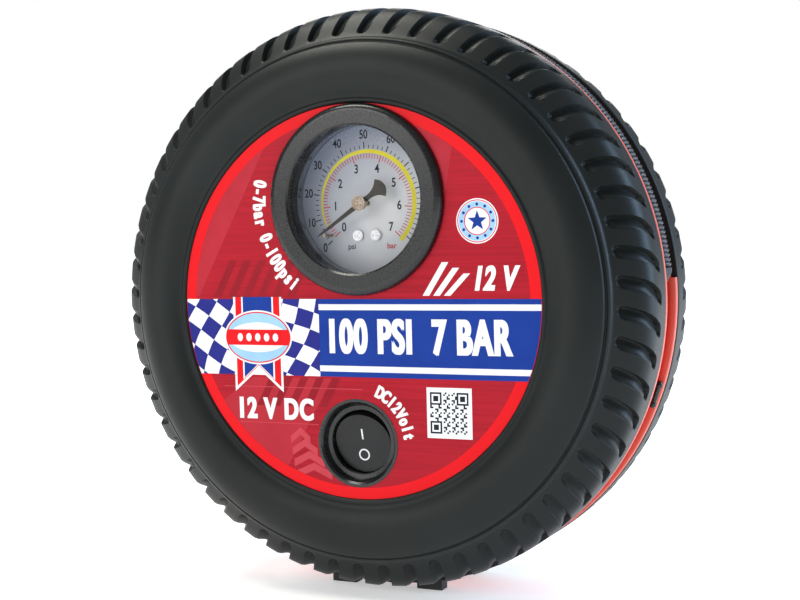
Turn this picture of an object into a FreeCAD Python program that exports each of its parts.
import FreeCAD, Part
import math
import os

Vector = FreeCAD.Vector

# Driving dimensions, in millimetres. X is to the right, Y points from the face to the back,
# Z is up. The origin is on the floor below the middle of the wheel.

crown_radius = 84.7
foot_drop = 1.0
centre_z = crown_radius + foot_drop
face_y = 28.85          # printed face and back plate, from the middle plane
wall = 2.4
plate_thickness = 2.6

# tyre profile: radius against depth behind the face
label_radius = 56.5
label_thickness = 0.5
bulge_height = 2.6
shoulder_start_radius = 74.1
shoulder_depth = 21.9
shoulder_rise = crown_radius - shoulder_start_radius

# hose channel
channel_half_width = 6.95
lip_thickness = 2.0
channel_floor_radius = 75.0
liner_base = 1.4
lip_radius = 84.6
rear_lip_radius = 82.8
low_wall_angle = 3.5
flange_thickness = 1.6

# air hose
hose_radius = 4.1
hose_bore = 2.0
hose_route_radius = 80.6
hose_y = 0.6
hose_start_angle = 5.5
hose_end_angle = 207.2

# gauge, placed from the wheel's middle
gauge_x = 1.4
gauge_z = 29.2
gauge_ring_radius = 27.25
gauge_ring_height = bulge_height
gauge_opening_radius = 21.0
gauge_body_radius = 23.0
gauge_skirt_radius = 24.3
dial_radius = 21.5
dial_depth = 8.0
needle_depth = 2.2
pivot_x = gauge_x - 0.4
pivot_z = gauge_z - 0.9
needle_reach = 17.3
needle_rest_angle = 213.5

# switch, placed from the wheel's middle
switch_z = -40.4
switch_ring_radius = 12.7
rocker_ball_radius = 9.0
rocker_pivot_depth = 5.5
rocker_tilt = 11.0
rocker_edge_rise = 2.6
rocker_face_radius = 53.2   # hollow curve of the rocker, seen from the side
rocker_pin_radius = 0.8

# pump drive
gear_module = 0.8
gear_teeth = 52
pinion_teeth = 12
gear_thickness = 4.0
gear_front_y = 2.0
gear_x = -14.0
pump_z = -13.0
crank_radius = 6.0
axle_radius = 2.0
running_gap = 0.05
pivot_gap = 0.4
motor_radius = 13.85
motor_length = 26.0
motor_rear_y = 0.4
motor_shaft_radius = 1.2
motor_x = gear_x - gear_module * (gear_teeth + pinion_teeth) / 2

# cylinder and piston
cylinder_y = -3.4
bore_radius = 9.0
cylinder_radius = 11.5
rod_thickness = 4.2
rod_end_radius = 4.5
piston_reach = 36.0
cylinder_start_x = 11.0
cylinder_end_x = 29.0
head_depth = 7.0
head_half_width = 13.0
manifold_x = 45.0
manifold_half = 5.0

# back: cable tray and its lid
lid_radius = 45.9
lid_gap = 0.4
lid_thickness = 2.5
lid_chord_x = 34.8
lid_corner_trim = 1.2
opening_chord_x = 36.0
hinge_x = 38.0
hinge_y = 26.65
hinge_radius = 2.2
hinge_pin_radius = 0.9
knuckle_half_length = 11.0
gland_x = 18.0
gland_z = -22.0
gland_bore = 2.6
tray_radius = 45.4
tray_wall = 1.6
tray_floor_y = 13.2

# fixings
screw_circle = 63.0
screw_count = 6
screw_radius = 1.5
post_radius = 4.4
foot_x = 14.0
foot_y = 10.2
foot_length = 8.0
foot_width = 4.0
foot_top = 3.6

# screw-on valve connector at the hose's free end
connector_angle = 215.2
connector_route_radius = 80.0
connector_radius = 4.65
connector_half_length = 7.0
valve_bore_radius = 3.9
valve_bore_length = 9.0
spindle_radius = 2.4
collar_length = 3.0

# hose fitting where the hose leaves the front half
nipple_angle = 0.0
nipple_route_radius = 78.6
nipple_y = -14.5
nipple_neck_radius = 2.7

nodes = {}


def keep(name, shape):
    nodes[name] = shape


def depth_to_y(depth):
    """Y of a point that lies this far behind the front face."""
    return depth - face_y


def outline(start, *steps):
    """Closed face in the XY plane: a step is a point, a (mid, end) arc or a list for a spline."""
    edges = []
    here = start
    for step in steps:
        if isinstance(step, list):
            curve = Part.BSplineCurve()
            curve.interpolate([Vector(x, y, 0) for x, y in [here] + step])
            edges.append(curve.toShape())
            here = step[-1]
        elif isinstance(step[0], tuple):
            mid, end = step
            arc = Part.Arc(Vector(*here, 0), Vector(*mid, 0), Vector(*end, 0))
            edges.append(arc.toShape())
            here = end
        else:
            edges.append(Part.makeLine(Vector(*here, 0), Vector(*step, 0)))
            here = step
    if here != start:
        edges.append(Part.makeLine(Vector(*here, 0), Vector(*start, 0)))
    return Part.Face(Part.Wire(edges))


def turned(face, x=0.0, z=0.0, angle=360.0):
    """Spin an outline of (radius, y) about the Y direction through (x, z) from the wheel's middle."""
    solid = face.revolve(Vector(0, 0, 0), Vector(0, 1, 0), angle)
    solid.translate(Vector(x, 0, centre_z + z))
    return solid


def disc(radius, y_from, y_to, x=0.0, z=0.0):
    """Cylinder along Y."""
    base = Vector(x, y_from, centre_z + z)
    return Part.makeCylinder(radius, y_to - y_from, base, Vector(0, 1, 0))


def ring(outer, inner, y_from, y_to, x=0.0, z=0.0):
    return disc(outer, y_from, y_to, x, z).cut(disc(inner, y_from, y_to, x, z))


def rod_x(radius, x_from, x_to, y, z):
    """Cylinder along X."""
    base = Vector(x_from, y, centre_z + z)
    return Part.makeCylinder(radius, x_to - x_from, base, Vector(1, 0, 0))


def block(x_from, x_to, y_from, y_to, z_from, z_to):
    """Box, with Z counted from the wheel's middle."""
    corner = Vector(x_from, y_from, centre_z + z_from)
    return Part.makeBox(x_to - x_from, y_to - y_from, z_to - z_from, corner)


def around(radius, angle):
    """Point on a circle about the wheel's axis, as (x, z from the middle)."""
    a = math.radians(angle)
    return radius * math.cos(a), radius * math.sin(a)


def joined(first, *others):
    shape = first
    for other in others:
        shape = shape.fuse(other)
    return shape.removeSplitter()


def cut_all(shape, tools):
    for tool in tools:
        shape = shape.cut(tool)
    return shape


def mirror_back(shape):
    return shape.mirror(Vector(0, 0, 0), Vector(0, 1, 0))


def shoulder_radius(depth):
    """Radius of the tread shoulder at a depth behind the face."""
    u = max(0.0, 1.0 - depth / shoulder_depth)
    return shoulder_start_radius + shoulder_rise * (1.0 - u ** 6.1) ** 3.46


def tyre_half(inner_radius, inner_depth):
    """One moulded half, facing -Y: plate, rolled bead, bulged sidewall, groove, shoulder, flange."""
    shoulder = [(shoulder_radius(d), depth_to_y(d)) for d in (3.2, 4.4, 6, 8, 10.5, 14, 18, 21.2)]
    y = depth_to_y
    inner_floor = inner_depth + plate_thickness
    face = outline(
        (inner_radius, y(inner_depth)),
        (label_radius + 0.1, y(inner_depth)),
        (label_radius + 0.1, y(-0.3)),
        ((57.5, y(-0.75)), (58.5, y(-0.35))),
        ((67.0, y(-bulge_height)), (73.4, y(0.0))),
        (73.85, y(1.2)),
        ((74.6, y(1.15)), (75.2, y(2.2))),
        (shoulder_radius(2.6), y(2.6)),
        shoulder,
        (crown_radius - 0.35, y(shoulder_depth)),
        (73.0, y(shoulder_depth)),
        (73.0, y(shoulder_depth - flange_thickness)),
        (crown_radius - wall, y(shoulder_depth - flange_thickness)),
        (crown_radius - wall, y(13.5)),
        (80.2, y(9.0)),
        (76.6, y(6.0)),
        (72.0, y(3.6)),
        ((67.0, y(0.4)), (61.8, y(inner_floor))),
        (inner_radius, y(inner_floor)),
    )
    return turned(face)


def screw_places():
    return [around(screw_circle, 30 + 360 * i / screw_count) for i in range(screw_count)]


def feet(side):
    """Two rubber pads under one half, side is -1 for the front and 1 for the back."""
    pads = []
    for x in (-foot_x, foot_x):
        corner = Vector(x - foot_length / 2, side * foot_y - foot_width / 2, 0)
        pads.append(Part.makeBox(foot_length, foot_width, foot_top, corner))
    return pads


def hose_point(angle):
    """Point on the hose's centre line, as a vector in the part's frame."""
    x, z = around(hose_route_radius, angle)
    return Vector(x, hose_y, centre_z + z)


def boot_body():
    """Moulded bend from the hose's start down into the front wall of the channel."""
    start = hose_point(hose_start_angle)
    x, z = around(nipple_route_radius, nipple_angle)
    end = Vector(x, -channel_half_width - flange_thickness, centre_z + z)
    way = end - start
    bend = joined(Part.makeSphere(hose_radius, start),
                  Part.makeCylinder(hose_radius, way.Length + 6.0, start, way))
    room = Part.makeBox(60, 60 + end.y * -1, 60, Vector(x - 30, end.y, centre_z - 30))
    return bend.common(room)


def d_disc(radius, chord_x, y_from, y_to):
    """Disc with a straight side at chord_x."""
    return disc(radius, y_from, y_to).common(block(-100, chord_x, y_from, y_to, -100, 100))


def at_channel(shape, angle):
    """Turn a piece built above the wheel's axis, with Z as radius, to an angle round the wheel."""
    shape.translate(Vector(0, 0, -centre_z))
    shape.rotate(Vector(0, 0, 0), Vector(0, 1, 0), 90 - angle)
    shape.translate(Vector(0, 0, centre_z))
    return shape


def make_front_casing():
    shell = tyre_half(0.0, label_thickness)
    for x, z in screw_places():
        shell = shell.fuse(disc(post_radius, depth_to_y(1.5), -0.1, x, z))
    tools = [disc(gauge_skirt_radius + 0.05, -40, -20, gauge_x, gauge_z)]
    tools.append(disc(gauge_ring_radius + 0.05, -40, depth_to_y(0.5), gauge_x, gauge_z))
    tools.append(disc(switch_ring_radius + 0.05, -40, -20, 0, switch_z))
    tools += [disc(screw_radius, -16, 0, x, z) for x, z in screw_places()]
    tools += feet(-1)
    tools.append(boot_body())
    keep("front_casing", cut_all(shell, tools).removeSplitter())


def make_rear_casing():
    shell = mirror_back(tyre_half(0.0, 0.0))
    for x, z in screw_places():
        shell = shell.fuse(disc(post_radius, 0.1, -depth_to_y(2.0), x, z))
    for z in (-14.5, 14.5):
        shell = shell.fuse(block(opening_chord_x, hinge_x + 3.0, 24.6, 27.0, z - 3.0, z + 3.0))
    knuckle_room = knuckle_half_length + 0.5
    tools = [d_disc(lid_radius + lid_gap, opening_chord_x, 20, 40)]
    tools.append(block(opening_chord_x - 1, hinge_x + 2.6, 20, 40, -knuckle_room, knuckle_room))
    tools.append(hinge_rod(hinge_pin_radius, 17.0))
    for x, z in screw_places():
        tools.append(disc(screw_radius + 0.2, 0, 40, x, z))
        tools.append(disc(3.4, 24.0, 40, x, z))
    tools.append(block(-lid_radius - 6.0, -lid_radius + 6.0, 27.2, 40, -8.0, 8.0))
    tools += feet(1)
    keep("rear_casing", cut_all(shell, tools).removeSplitter())


def hinge_rod(radius, half_length):
    base = Vector(hinge_x, hinge_y, centre_z - half_length)
    return Part.makeCylinder(radius, 2 * half_length, base, Vector(0, 0, 1))


def make_lid():
    inner_y = face_y - lid_thickness
    lid = d_disc(lid_radius, lid_chord_x, inner_y, face_y)
    # narrower beside the hinge, so that its corners swing clear of the opening
    lid = lid.common(disc(lid_radius + 0.4, inner_y, face_y, -lid_corner_trim, 0))
    strap = block(lid_chord_x - 1, hinge_x, hinge_y, face_y, -knuckle_half_length, knuckle_half_length)
    lid = joined(lid, hinge_rod(hinge_radius, knuckle_half_length), strap)
    rib = ring(40.0, 38.6, inner_y - 1.6, inner_y)
    rib = rib.common(block(-100, lid_chord_x - 3.5, 0, 40, -100, 100))
    lid = joined(lid, rib)
    keep("rear_lid", lid.cut(hinge_rod(hinge_pin_radius + running_gap, 20)))
    keep("hinge_pin", hinge_rod(hinge_pin_radius, 17.0))


def make_cable_tray():
    rim_y = face_y - plate_thickness - 0.05
    inner_chord = lid_chord_x - tray_wall - 0.4
    tray = joined(d_disc(tray_radius, lid_chord_x, tray_floor_y, rim_y),
                  d_disc(tray_radius + 4.0, lid_chord_x + 1.0, rim_y - tray_wall, rim_y))
    inside = d_disc(tray_radius - tray_wall, inner_chord, tray_floor_y + tray_wall, 40)
    gland_hole = disc(3.4, 0, 40, gland_x, gland_z)
    keep("cable_tray", cut_all(tray, [inside, gland_hole]))
    floor = tray_floor_y + tray_wall
    gland = joined(disc(3.4, tray_floor_y, floor, gland_x, gland_z),
                   disc(4.8, floor, floor + 1.2, gland_x, gland_z),
                   disc(4.8, tray_floor_y - 1.2, tray_floor_y, gland_x, gland_z))
    keep("cable_gland", gland.cut(disc(gland_bore, 0, 40, gland_x, gland_z)))


def make_fixings():
    screws = []
    for x, z in screw_places():
        screw = joined(disc(3.2, 24.0, 26.2, x, z), disc(screw_radius, -14.0, 24.0, x, z))
        across = block(x - 2.0, x + 2.0, 25.0, 27.0, z - 0.4, z + 0.4)
        upright = block(x - 0.4, x + 0.4, 25.0, 27.0, z - 2.0, z + 2.0)
        screws.append(cut_all(screw, [across, upright]))
    keep("casing_screws", Part.Compound(screws))
    keep("rubber_feet", Part.Compound(feet(-1) + feet(1)))


def make_channel():
    """Red lining of the hose channel: two side walls with rounded lips and the floor between."""
    w = channel_half_width
    inner = w - lip_thickness
    low = channel_floor_radius - liner_base

    def side_wall(lip):
        return turned(outline((low, -w), (lip - 0.2, -w), (lip, -w + 0.25), (lip, -inner - 0.5),
                              ((lip - 0.15, -inner - 0.15), (lip - 0.5, -inner)), (low, -inner)))

    keep("channel_front_wall", side_wall(lip_radius).cut(boot_body()))
    # the rear wall is lower along the hose, so that the hose can be lifted out
    beside_hose = ring(lip_radius + 1, rear_lip_radius, 0, w + 1).common(block(-100, 100, 0, w + 1, 0, 100))
    beside_hose.rotate(Vector(0, 0, centre_z), Vector(0, 1, 0), -low_wall_angle)
    keep("channel_rear_wall", mirror_back(side_wall(lip_radius - 0.1)).cut(beside_hose))
    floor = turned(outline((low, -inner), (channel_floor_radius, -inner), (channel_floor_radius, inner), (low, inner)))
    keep("channel_floor", floor.cut(boot_body()))
    ends = [around(rear_lip_radius + 0.6, angle) for angle in (-17.6, -21.6)]
    first, second = [Vector(x, 3.75, centre_z + z) for x, z in ends]
    catch = joined(Part.makeSphere(1.15, first), Part.makeSphere(1.15, second),
                   Part.makeCylinder(0.85, (second - first).Length, first, second - first))
    keep("hose_catch", catch)


def make_face_label():
    label = disc(label_radius, depth_to_y(0), depth_to_y(label_thickness))
    tools = [disc(gauge_ring_radius + 0.05, -40, 0, gauge_x, gauge_z)]
    tools.append(disc(switch_ring_radius + 0.05, -40, 0, 0, switch_z))
    keep("face_label", cut_all(label, tools))


def make_gauge():
    y = depth_to_y
    top = -gauge_ring_height
    face = outline(
        (gauge_opening_radius, y(0.0)),
        (gauge_opening_radius, y(top + 0.5)),
        (gauge_opening_radius + 0.5, y(top)),
        (25.2, y(top)),
        ((26.75, y(top + 0.75)), (gauge_ring_radius, y(top + 2.2))),
        (gauge_ring_radius, y(label_thickness)),
        (gauge_skirt_radius, y(label_thickness)),
        (gauge_skirt_radius, y(3.0)),
        (gauge_body_radius + 0.1, y(3.0)),
        (gauge_body_radius + 0.1, y(0.0)),
    )
    keep("gauge_ring", turned(face, gauge_x, gauge_z))
    face = outline(
        (dial_radius + 0.2, y(0.1)), (gauge_body_radius - 0.4, y(0.1)), (gauge_body_radius, y(0.5)),
        (gauge_body_radius, y(6.5)), (dial_radius + 0.85, y(6.5)), (dial_radius + 0.85, y(0.6)),
        (dial_radius + 0.2, y(0.6)),
    )
    keep("gauge_bezel", turned(face, gauge_x, gauge_z))
    keep("gauge_lens", disc(dial_radius + 0.75, y(0.6), y(1.3), gauge_x, gauge_z))
    cup = disc(dial_radius + 0.75, y(1.35), y(20.0), gauge_x, gauge_z)
    cup = cup.cut(disc(dial_radius + 0.05, y(1.0), y(19.0), gauge_x, gauge_z))
    keep("gauge_case", cup.cut(disc(3.0, y(18), y(21), gauge_x, gauge_z)))
    dial = disc(dial_radius, y(dial_depth), y(dial_depth + 0.5), gauge_x, gauge_z)
    spindle_hole = disc(0.9, y(dial_depth - 1), y(dial_depth + 1), pivot_x, pivot_z)
    screw_spots = [(gauge_x - 0.5 + side * 2.85, gauge_z - 10.2) for side in (-1, 1)]
    holes = [disc(0.8, y(dial_depth - 1), y(14.0), x, z) for x, z in screw_spots]
    x, z = around(14.8, needle_rest_angle + 4.5)
    stop = disc(0.45, y(needle_depth + 0.7), y(dial_depth + 0.5), pivot_x + x, pivot_z + z)
    keep("gauge_dial", cut_all(dial, [spindle_hole, stop] + holes))
    keep("needle_stop", stop)
    screws = []
    for x, z in screw_spots:
        head = disc(1.6, y(dial_depth - 0.8), y(dial_depth), x, z)
        shank = disc(0.8, y(dial_depth), y(11.0), x, z)
        slot = block(x - 2, x + 2, y(dial_depth - 1), y(dial_depth - 0.5), z - 0.2, z + 0.2)
        screws.append(joined(head, shank).cut(slot))
    keep("dial_screws", Part.Compound(screws))
    plate = block(gauge_x - 8, gauge_x + 8, y(dial_depth + 0.6), y(11.0), gauge_z - 13, gauge_z + 6)
    plate = plate.fuse(block(gauge_x - 4, gauge_x + 4, y(11.0), y(15.0), gauge_z - 6, gauge_z + 4))
    keep("gauge_movement", cut_all(plate, holes + [disc(0.65, y(5), y(18), pivot_x, pivot_z)]))
    tube = turned(outline((13.5, y(13.6)), (17.5, y(13.6)), (17.5, y(16.4)), (13.5, y(16.4))), gauge_x, gauge_z, 250)
    tube.rotate(Vector(gauge_x, 0, centre_z + gauge_z), Vector(0, 1, 0), 200)
    keep("bourdon_tube", tube)
    stem = joined(disc(2.95, y(18.0), y(22.0), gauge_x, gauge_z),
                  block(gauge_x - 4, gauge_x + 4, y(22.0), y(29.0), gauge_z - 4, gauge_z + 4),
                  rod_x(1.4, gauge_x + 3.9, gauge_x + 9.0, cylinder_y, gauge_z))
    keep("gauge_stem", stem)


def make_needle():
    y = depth_to_y
    blade = outline((-2.0, -0.8), (needle_reach - 2.0, -0.3), (needle_reach, 0.0), (needle_reach - 2.0, 0.3),
                    (-2.0, 0.8), ((-5.2, 1.1), (-7.5, 2.9)), ((-9.1, 0.0), (-7.5, -2.9)),
                    ((-5.2, -1.1), (-2.0, -0.8)))
    needle = blade.extrude(Vector(0, 0, 0.5))
    needle.rotate(Vector(0, 0, 0), Vector(1, 0, 0), 90)
    needle.rotate(Vector(0, 0, 0), Vector(0, 1, 0), -needle_rest_angle)
    needle.translate(Vector(pivot_x, y(needle_depth + 1.4) + 0.5, centre_z + pivot_z))
    eye = disc(1.9, y(needle_depth + 1.4), y(needle_depth + 1.9), pivot_x, pivot_z)
    hub_hole = disc(1.2, y(0), y(9), pivot_x, pivot_z)
    keep("gauge_needle", joined(needle, eye).cut(hub_hole))
    hub = joined(disc(2.1, y(needle_depth), y(needle_depth + 0.9), pivot_x, pivot_z),
                 disc(1.2, y(needle_depth + 0.9), y(needle_depth + 2.2), pivot_x, pivot_z),
                 disc(0.6, y(needle_depth + 2.2), y(14.0), pivot_x, pivot_z))
    keep("needle_spindle", hub)


def make_switch():
    y = depth_to_y
    face = outline(
        (9.45, y(3.1)), (9.45, y(2.4)), (10.6, y(2.2)), (11.4, y(0.5)), (11.9, y(-0.1)),
        (switch_ring_radius, y(-0.1)), (switch_ring_radius, y(3.1)),
    )
    keep("switch_bezel", turned(face, 0, switch_z))
    body = joined(disc(12.2, y(3.15), y(4.6), 0, switch_z), disc(10.4, y(4.6), y(19.0), 0, switch_z))
    cavity = disc(rocker_ball_radius + 0.3, y(0), y(11.0), 0, switch_z)
    pivot_y = y(rocker_pivot_depth)
    pin = rod_x(rocker_pin_radius, -9.9, 9.9, pivot_y, switch_z)
    keep("switch_body", cut_all(body, [cavity, pin]))
    keep("rocker_pin", pin)
    ball = Part.makeSphere(rocker_ball_radius, Vector(0, pivot_y, centre_z + switch_z))
    slab = block(-10, 10, pivot_y - rocker_edge_rise, pivot_y + 3.5, switch_z - 10, switch_z + 10)
    hollow = rod_x(rocker_face_radius, -12, 12, pivot_y - 1.9 - rocker_face_radius, switch_z)
    rocker = ball.common(slab).cut(hollow)
    rocker.rotate(Vector(0, pivot_y, centre_z + switch_z), Vector(1, 0, 0), rocker_tilt)
    rocker = rocker.cut(rod_x(rocker_pin_radius + running_gap, -12, 12, pivot_y, switch_z))
    keep("switch_rocker", rocker)
    tabs = [block(x - 2.4, x + 2.4, y(18.0), y(26.0), switch_z - 0.4, switch_z + 0.4) for x in (-5.0, 5.0)]
    keep("switch_terminals", Part.Compound([tab.cut(nodes["switch_body"]) for tab in tabs]))


def gear_face(teeth, slack, turn):
    """Spur gear outline with involute flanks; slack is the share of the pitch left as backlash."""
    pitch_radius = gear_module * teeth / 2
    base_radius = pitch_radius * math.cos(math.radians(20))
    tip_radius = pitch_radius + 0.85 * gear_module
    root_radius = pitch_radius - 1.25 * gear_module
    half_tooth = (math.pi / 2 - slack * math.pi) / teeth
    roll_at_pitch = math.tan(math.radians(20)) - math.radians(20)

    def flank(radius):
        if radius <= base_radius:
            return half_tooth + roll_at_pitch
        pressure = math.acos(base_radius / radius)
        return half_tooth + roll_at_pitch - (math.tan(pressure) - pressure)

    levels = [root_radius, max(base_radius, root_radius + 0.05), pitch_radius, tip_radius]
    points = []
    for tooth in range(teeth):
        middle = turn + 2 * math.pi * tooth / teeth
        for radius in levels:
            angle = middle - flank(radius)
            points.append(Vector(radius * math.cos(angle), 0, radius * math.sin(angle)))
        for radius in reversed(levels):
            angle = middle + flank(radius)
            points.append(Vector(radius * math.cos(angle), 0, radius * math.sin(angle)))
    return Part.Face(Part.makePolygon(points + points[:1]))


def spur_gear(teeth, turn, x, y_from, y_to):
    gear = gear_face(teeth, 0.06, turn).extrude(Vector(0, y_to - y_from, 0))
    gear.translate(Vector(x, y_from, centre_z + pump_z))
    return gear


def make_drive():
    gear_back_y = gear_front_y + gear_thickness
    gap_turn = math.pi / gear_teeth
    gear = spur_gear(gear_teeth, math.pi + gap_turn, gear_x, gear_front_y, gear_back_y)
    boss_front = cylinder_y + rod_thickness / 2 + pivot_gap
    boss = disc(4.2, boss_front, gear_front_y, gear_x - crank_radius, pump_z)
    boss = boss.cut(disc(3.9, -9, gear_front_y, gear_x, pump_z))
    balance = block(gear_x + 5, gear_x + 15, gear_front_y - 1.2, gear_front_y, pump_z - 9, pump_z + 9)
    balance = balance.common(disc(16.5, -9, 9, gear_x, pump_z))
    lightening = []
    for angle in (60, 120, 240, 300):
        x, z = around(12.0, angle)
        lightening.append(disc(3.6, 0, 9, gear_x + x, pump_z + z))
    gear = joined(gear, boss, balance)
    lightening.append(disc(axle_radius + running_gap, -9, 9, gear_x, pump_z))
    keep("crank_gear", cut_all(gear, lightening))
    axle = joined(disc(axle_radius, 0.6, 8.4, gear_x, pump_z), disc(3.4, 8.4, 9.4, gear_x, pump_z))
    clip = ring(3.6, 1.5, 1.2, 1.8, gear_x, pump_z)
    keep("gear_axle", axle.cut(ring(4.0, 1.5, 1.2, 1.8, gear_x, pump_z)))
    keep("axle_clip", clip)
    pinion = spur_gear(pinion_teeth, 0.0, motor_x, gear_front_y, gear_back_y)
    keep("drive_pinion", pinion.cut(disc(motor_shaft_radius, -9, 9, motor_x, pump_z)))


def make_motor():
    back = motor_rear_y
    front = motor_rear_y - motor_length
    can = disc(motor_radius, front + 3.0, back, motor_x, pump_z)
    hollow = disc(motor_radius - 1.0, front, back - 1.0, motor_x, pump_z)
    keep("motor_can", cut_all(can, [hollow, disc(3.0, front, back + 1, motor_x, pump_z)]))
    cap = joined(disc(motor_radius, front + 0.6, front + 3.0, motor_x, pump_z),
                 disc(motor_radius - 1.0, front + 3.0, front + 4.5, motor_x, pump_z))
    keep("motor_end_cap", cap.cut(disc(3.0, front - 1, front + 6, motor_x, pump_z)))
    bushes = [ring(3.0, motor_shaft_radius + running_gap, back - 1.5, back + 0.6, motor_x, pump_z),
              ring(3.0, motor_shaft_radius + running_gap, front + 0.6, front + 4.5, motor_x, pump_z)]
    keep("motor_bushes", Part.Compound(bushes))
    hoop = ring(motor_radius - 1.0, motor_radius - 4.0, front + 6.0, back - 2.5, motor_x, pump_z)
    gap = block(motor_x - 5, motor_x + 5, -40, 40, pump_z - 20, pump_z + 20)
    keep("motor_magnets", Part.Compound(hoop.cut(gap).Solids))
    core = disc(motor_radius - 4.6, front + 8.0, back - 4.5, motor_x, pump_z)
    slots = []
    for i in range(5):
        x, z = around(9.2, 72 * i)
        slots.append(disc(1.5, front + 7.0, back, motor_x + x, pump_z + z))
    slots.append(disc(motor_shaft_radius, -40, 20, motor_x, pump_z))
    keep("armature", cut_all(core, slots))
    keep("motor_shaft", disc(motor_shaft_radius, front + 0.9, gear_front_y + gear_thickness + 0.1, motor_x, pump_z))
    tabs = []
    for z in (-7.0, 7.0):
        tabs.append(block(motor_x - 1.4, motor_x + 1.4, front, front + 1.6, pump_z + z - 0.3, pump_z + z + 0.3))
    keep("motor_terminals", Part.Compound([tab.cut(cap) for tab in tabs]))


def make_pump_frame():
    plate_y = gear_front_y + gear_thickness + 0.4
    collar_front = motor_rear_y - 7.0
    plate = joined(disc(17.5, plate_y, plate_y + 2.0, motor_x, pump_z),
                   disc(24.5, plate_y, plate_y + 2.0, gear_x, pump_z),
                   block(gear_x, 13.0, plate_y, plate_y + 2.0, pump_z - 13, pump_z + 13))
    collar = ring(motor_radius + 1.8, motor_radius, collar_front, motor_rear_y, motor_x, pump_z)
    struts = [block(motor_x - 15.6, motor_x - 12.6, motor_rear_y - 3, plate_y + 1, pump_z - 4, pump_z + 4)]
    for side in (-1, 1):
        low, high = sorted((pump_z + side * 12.6, pump_z + side * 15.6))
        struts.append(block(motor_x - 9, motor_x - 3, motor_rear_y - 3, plate_y + 1, low, high))
    seat = block(9.0, 13.0, cylinder_y - 13, plate_y + 1.0, pump_z - 13, pump_z + 13)
    frame = joined(plate, collar, *struts, seat)
    tools = [disc(motor_radius, -40, motor_rear_y, motor_x, pump_z)]
    tools.append(rod_x(cylinder_radius, cylinder_start_x, 20, cylinder_y, pump_z))
    tools.append(rod_x(bore_radius + 0.4, 0, 20, cylinder_y, pump_z))
    tools.append(disc(crank_radius + rod_end_radius + 1.5, -12, plate_y - 0.1, gear_x, pump_z))
    tools.append(disc(axle_radius, -9, 20, gear_x, pump_z))
    keep("pump_frame", cut_all(frame, tools))


def make_cylinder():
    barrel = rod_x(cylinder_radius, cylinder_start_x, cylinder_end_x, cylinder_y, pump_z)
    fins = []
    for i in range(4):
        x = 15.0 + 3.2 * i
        fins.append(rod_x(cylinder_radius + 1.6, x, x + 1.2, cylinder_y, pump_z))
    bore = rod_x(bore_radius, cylinder_start_x - 1, cylinder_end_x + 1, cylinder_y, pump_z)
    keep("cylinder", joined(barrel, *fins).cut(bore))
    h = head_half_width
    head = block(cylinder_end_x, cylinder_end_x + head_depth, cylinder_y - h, cylinder_y + h, pump_z - h, pump_z + h)
    head = head.makeFillet(3.0, [e for e in head.Edges if abs(e.tangentAt(e.FirstParameter).x) > 0.9])
    tools = [rod_x(1.5, cylinder_end_x - 1, cylinder_end_x + 20, cylinder_y, pump_z)]
    screws = []
    for dy in (-9.6, 9.6):
        for dz in (-9.6, 9.6):
            x = cylinder_end_x + head_depth
            screws.append(joined(rod_x(2.6, x, x + 1.8, cylinder_y + dy, pump_z + dz),
                                 rod_x(1.3, x - 6.0, x, cylinder_y + dy, pump_z + dz)))
            tools.append(rod_x(1.3, x - 6.0, x + 1, cylinder_y + dy, pump_z + dz))
    keep("cylinder_head", cut_all(head, tools))
    keep("head_screws", Part.Compound(screws))


def make_piston():
    pin_x = gear_x - crank_radius
    half = rod_thickness / 2
    crown_x = pin_x + piston_reach
    eye = disc(rod_end_radius, cylinder_y - half, cylinder_y + half, pin_x, pump_z)
    shank = block(pin_x, crown_x - 4.0, cylinder_y - half, cylinder_y + half, pump_z - 2.6, pump_z + 2.6)
    skirt = rod_x(bore_radius - 0.5, crown_x - 4.5, crown_x - 2.2, cylinder_y, pump_z)
    pin = disc(2.5, cylinder_y - half - 1.0, cylinder_y + half, pin_x, pump_z)
    keep("connecting_rod", joined(eye, shank, skirt).cut(pin))
    keep("crank_pin", pin)
    seal = rod_x(bore_radius - running_gap, crown_x - 2.2, crown_x - 1.0, cylinder_y, pump_z)
    keep("piston_seal", seal)
    keep("piston_cap", rod_x(bore_radius - 1.2, crown_x - 1.0, crown_x, cylinder_y, pump_z))


def bent_tube(points, radius, bore, bend):
    """Tube along straight runs in one plane, with a tangent arc of the given radius at each corner."""
    edges = []
    here = Vector(*points[0])
    for i in range(1, len(points) - 1):
        corner = Vector(*points[i])
        before = (Vector(*points[i - 1]) - corner).normalize()
        after = (Vector(*points[i + 1]) - corner).normalize()
        half = math.acos(before.dot(after)) / 2
        reach = bend / math.tan(half)
        start = corner + before * reach
        end = corner + after * reach
        inward = (before + after).normalize()
        middle = corner + inward * (bend / math.sin(half) - bend)
        if (start - here).Length > 1e-4:
            edges.append(Part.makeLine(here, start))
        edges.append(Part.Arc(start, middle, end).toShape())
        here = end
    edges.append(Part.makeLine(here, Vector(*points[-1])))
    path = Part.Wire(edges)
    direction = (Vector(*points[1]) - Vector(*points[0])).normalize()
    shapes = []
    for size in (radius, bore):
        circle = Part.Wire(Part.makeCircle(size, Vector(*points[0]), direction))
        shapes.append(path.makePipeShell([circle], True, False))
    return shapes[0].cut(shapes[1])


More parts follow.
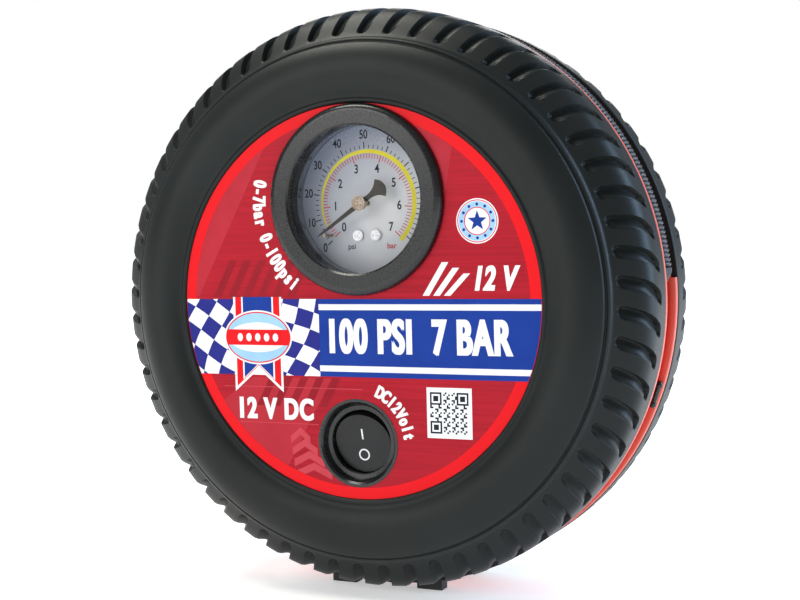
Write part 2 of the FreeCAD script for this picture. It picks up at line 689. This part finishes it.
def make_air_lines():
    m = manifold_half
    middle = block(manifold_x - m, manifold_x + m, cylinder_y - m, cylinder_y + m, pump_z - m, pump_z + m)
    inlet = rod_x(2.6, cylinder_end_x + head_depth, manifold_x - m, cylinder_y, pump_z)
    up = Part.makeCylinder(1.4, 6.0, Vector(manifold_x, cylinder_y, centre_z + pump_z + m), Vector(0, 0, 1))
    out = rod_x(1.9, manifold_x + m, manifold_x + m + 6.0, cylinder_y, pump_z)
    keep("air_manifold", joined(middle, inlet, up, out))
    z0 = centre_z + pump_z
    route = [(gauge_x + 4.2, cylinder_y, centre_z + gauge_z), (manifold_x, cylinder_y, centre_z + gauge_z),
             (manifold_x, cylinder_y, z0 + m + 0.2)]
    keep("gauge_tube", bent_tube(route, 2.4, 1.45, 32.0))
    x, z = around(nipple_route_radius, nipple_angle)
    elbow = joined(disc(1.9, nipple_y, -7.0, x, z),
                   Part.makeSphere(2.6, Vector(x, nipple_y, centre_z + z)),
                   rod_x(1.9, x - 8.0, x, nipple_y, z))
    keep("hose_nipple", elbow)
    lead = manifold_x + m + 0.2
    route = [(lead, cylinder_y, z0), (lead + 10.0, cylinder_y, z0),
             (x - 13.0, nipple_y, centre_z + z), (x - 2.8, nipple_y, centre_z + z)]
    keep("outlet_tube", bent_tube(route, 2.9, 1.95, 7.0))


def make_hose():
    section = Part.Face(Part.Wire(Part.makeCircle(hose_radius, Vector(hose_route_radius, 0, 0))))
    section = section.cut(Part.Face(Part.Wire(Part.makeCircle(hose_bore, Vector(hose_route_radius, 0, 0)))))
    hose = section.revolve(Vector(0, 0, 0), Vector(0, 1, 0), hose_start_angle - hose_end_angle)
    hose.rotate(Vector(0, 0, 0), Vector(0, 1, 0), -hose_start_angle)
    hose.translate(Vector(0, hose_y, centre_z))
    keep("air_hose", hose)
    x, z = around(nipple_route_radius, nipple_angle)
    neck = disc(nipple_neck_radius, -11.5, -channel_half_width - flange_thickness, x, z)
    hose_side = Part.makeBox(100, 60, 60, Vector(0, -30, 0))
    hose_side.rotate(Vector(0, 0, 0), Vector(0, 1, 0), -hose_start_angle)
    hose_side.translate(Vector(0, 0, centre_z))
    boot = joined(boot_body().cut(hose_side), neck)
    keep("hose_boot", boot.cut(nodes["hose_nipple"]))


def make_connector():
    """Knurled nut that screws onto a tyre valve, turning on the tail that is crimped in the hose."""
    z = connector_route_radius
    h = connector_half_length
    nut = rod_x(connector_radius, -h, h, 0, z)
    flange_room = rod_x(3.4, -h + valve_bore_length, h - 1.8, 0, z)
    tools = [rod_x(valve_bore_radius, -h - 1, -h + valve_bore_length, 0, z), flange_room]
    tools.append(rod_x(spindle_radius + running_gap, 0, h + 1, 0, z))
    for i in range(24):
        y, dz = around(connector_radius + 0.35, 15 * i)
        tools.append(rod_x(0.6, -h - 1, 1.5, y, z + dz))
    keep("connector_nut", at_channel(cut_all(nut, tools), connector_angle))
    collar = joined(rod_x(3.0, h - 4.4, h - 2.2, 0, z), rod_x(spindle_radius, h - 2.4, h + 0.4, 0, z),
                    rod_x(4.0, h + 0.4, h + 0.4 + collar_length, 0, z),
                    rod_x(1.0, h + 0.4 + collar_length, h + 7.0, 0, z))
    keep("hose_tail", at_channel(collar, connector_angle))


def make_all():
    make_front_casing()
    make_rear_casing()
    make_channel()
    make_face_label()
    make_gauge()
    make_needle()
    make_switch()
    make_drive()
    make_motor()
    make_pump_frame()
    make_cylinder()
    make_piston()
    make_air_lines()
    make_hose()
    make_connector()
    make_lid()
    make_cable_tray()
    make_fixings()


os.makedirs("parts", exist_ok=True)
make_all()
for name, shape in nodes.items():
    shape.exportStep("parts/" + name + ".step")
    print(name, len(shape.Solids), round(shape.Volume, 1), shape.isValid())
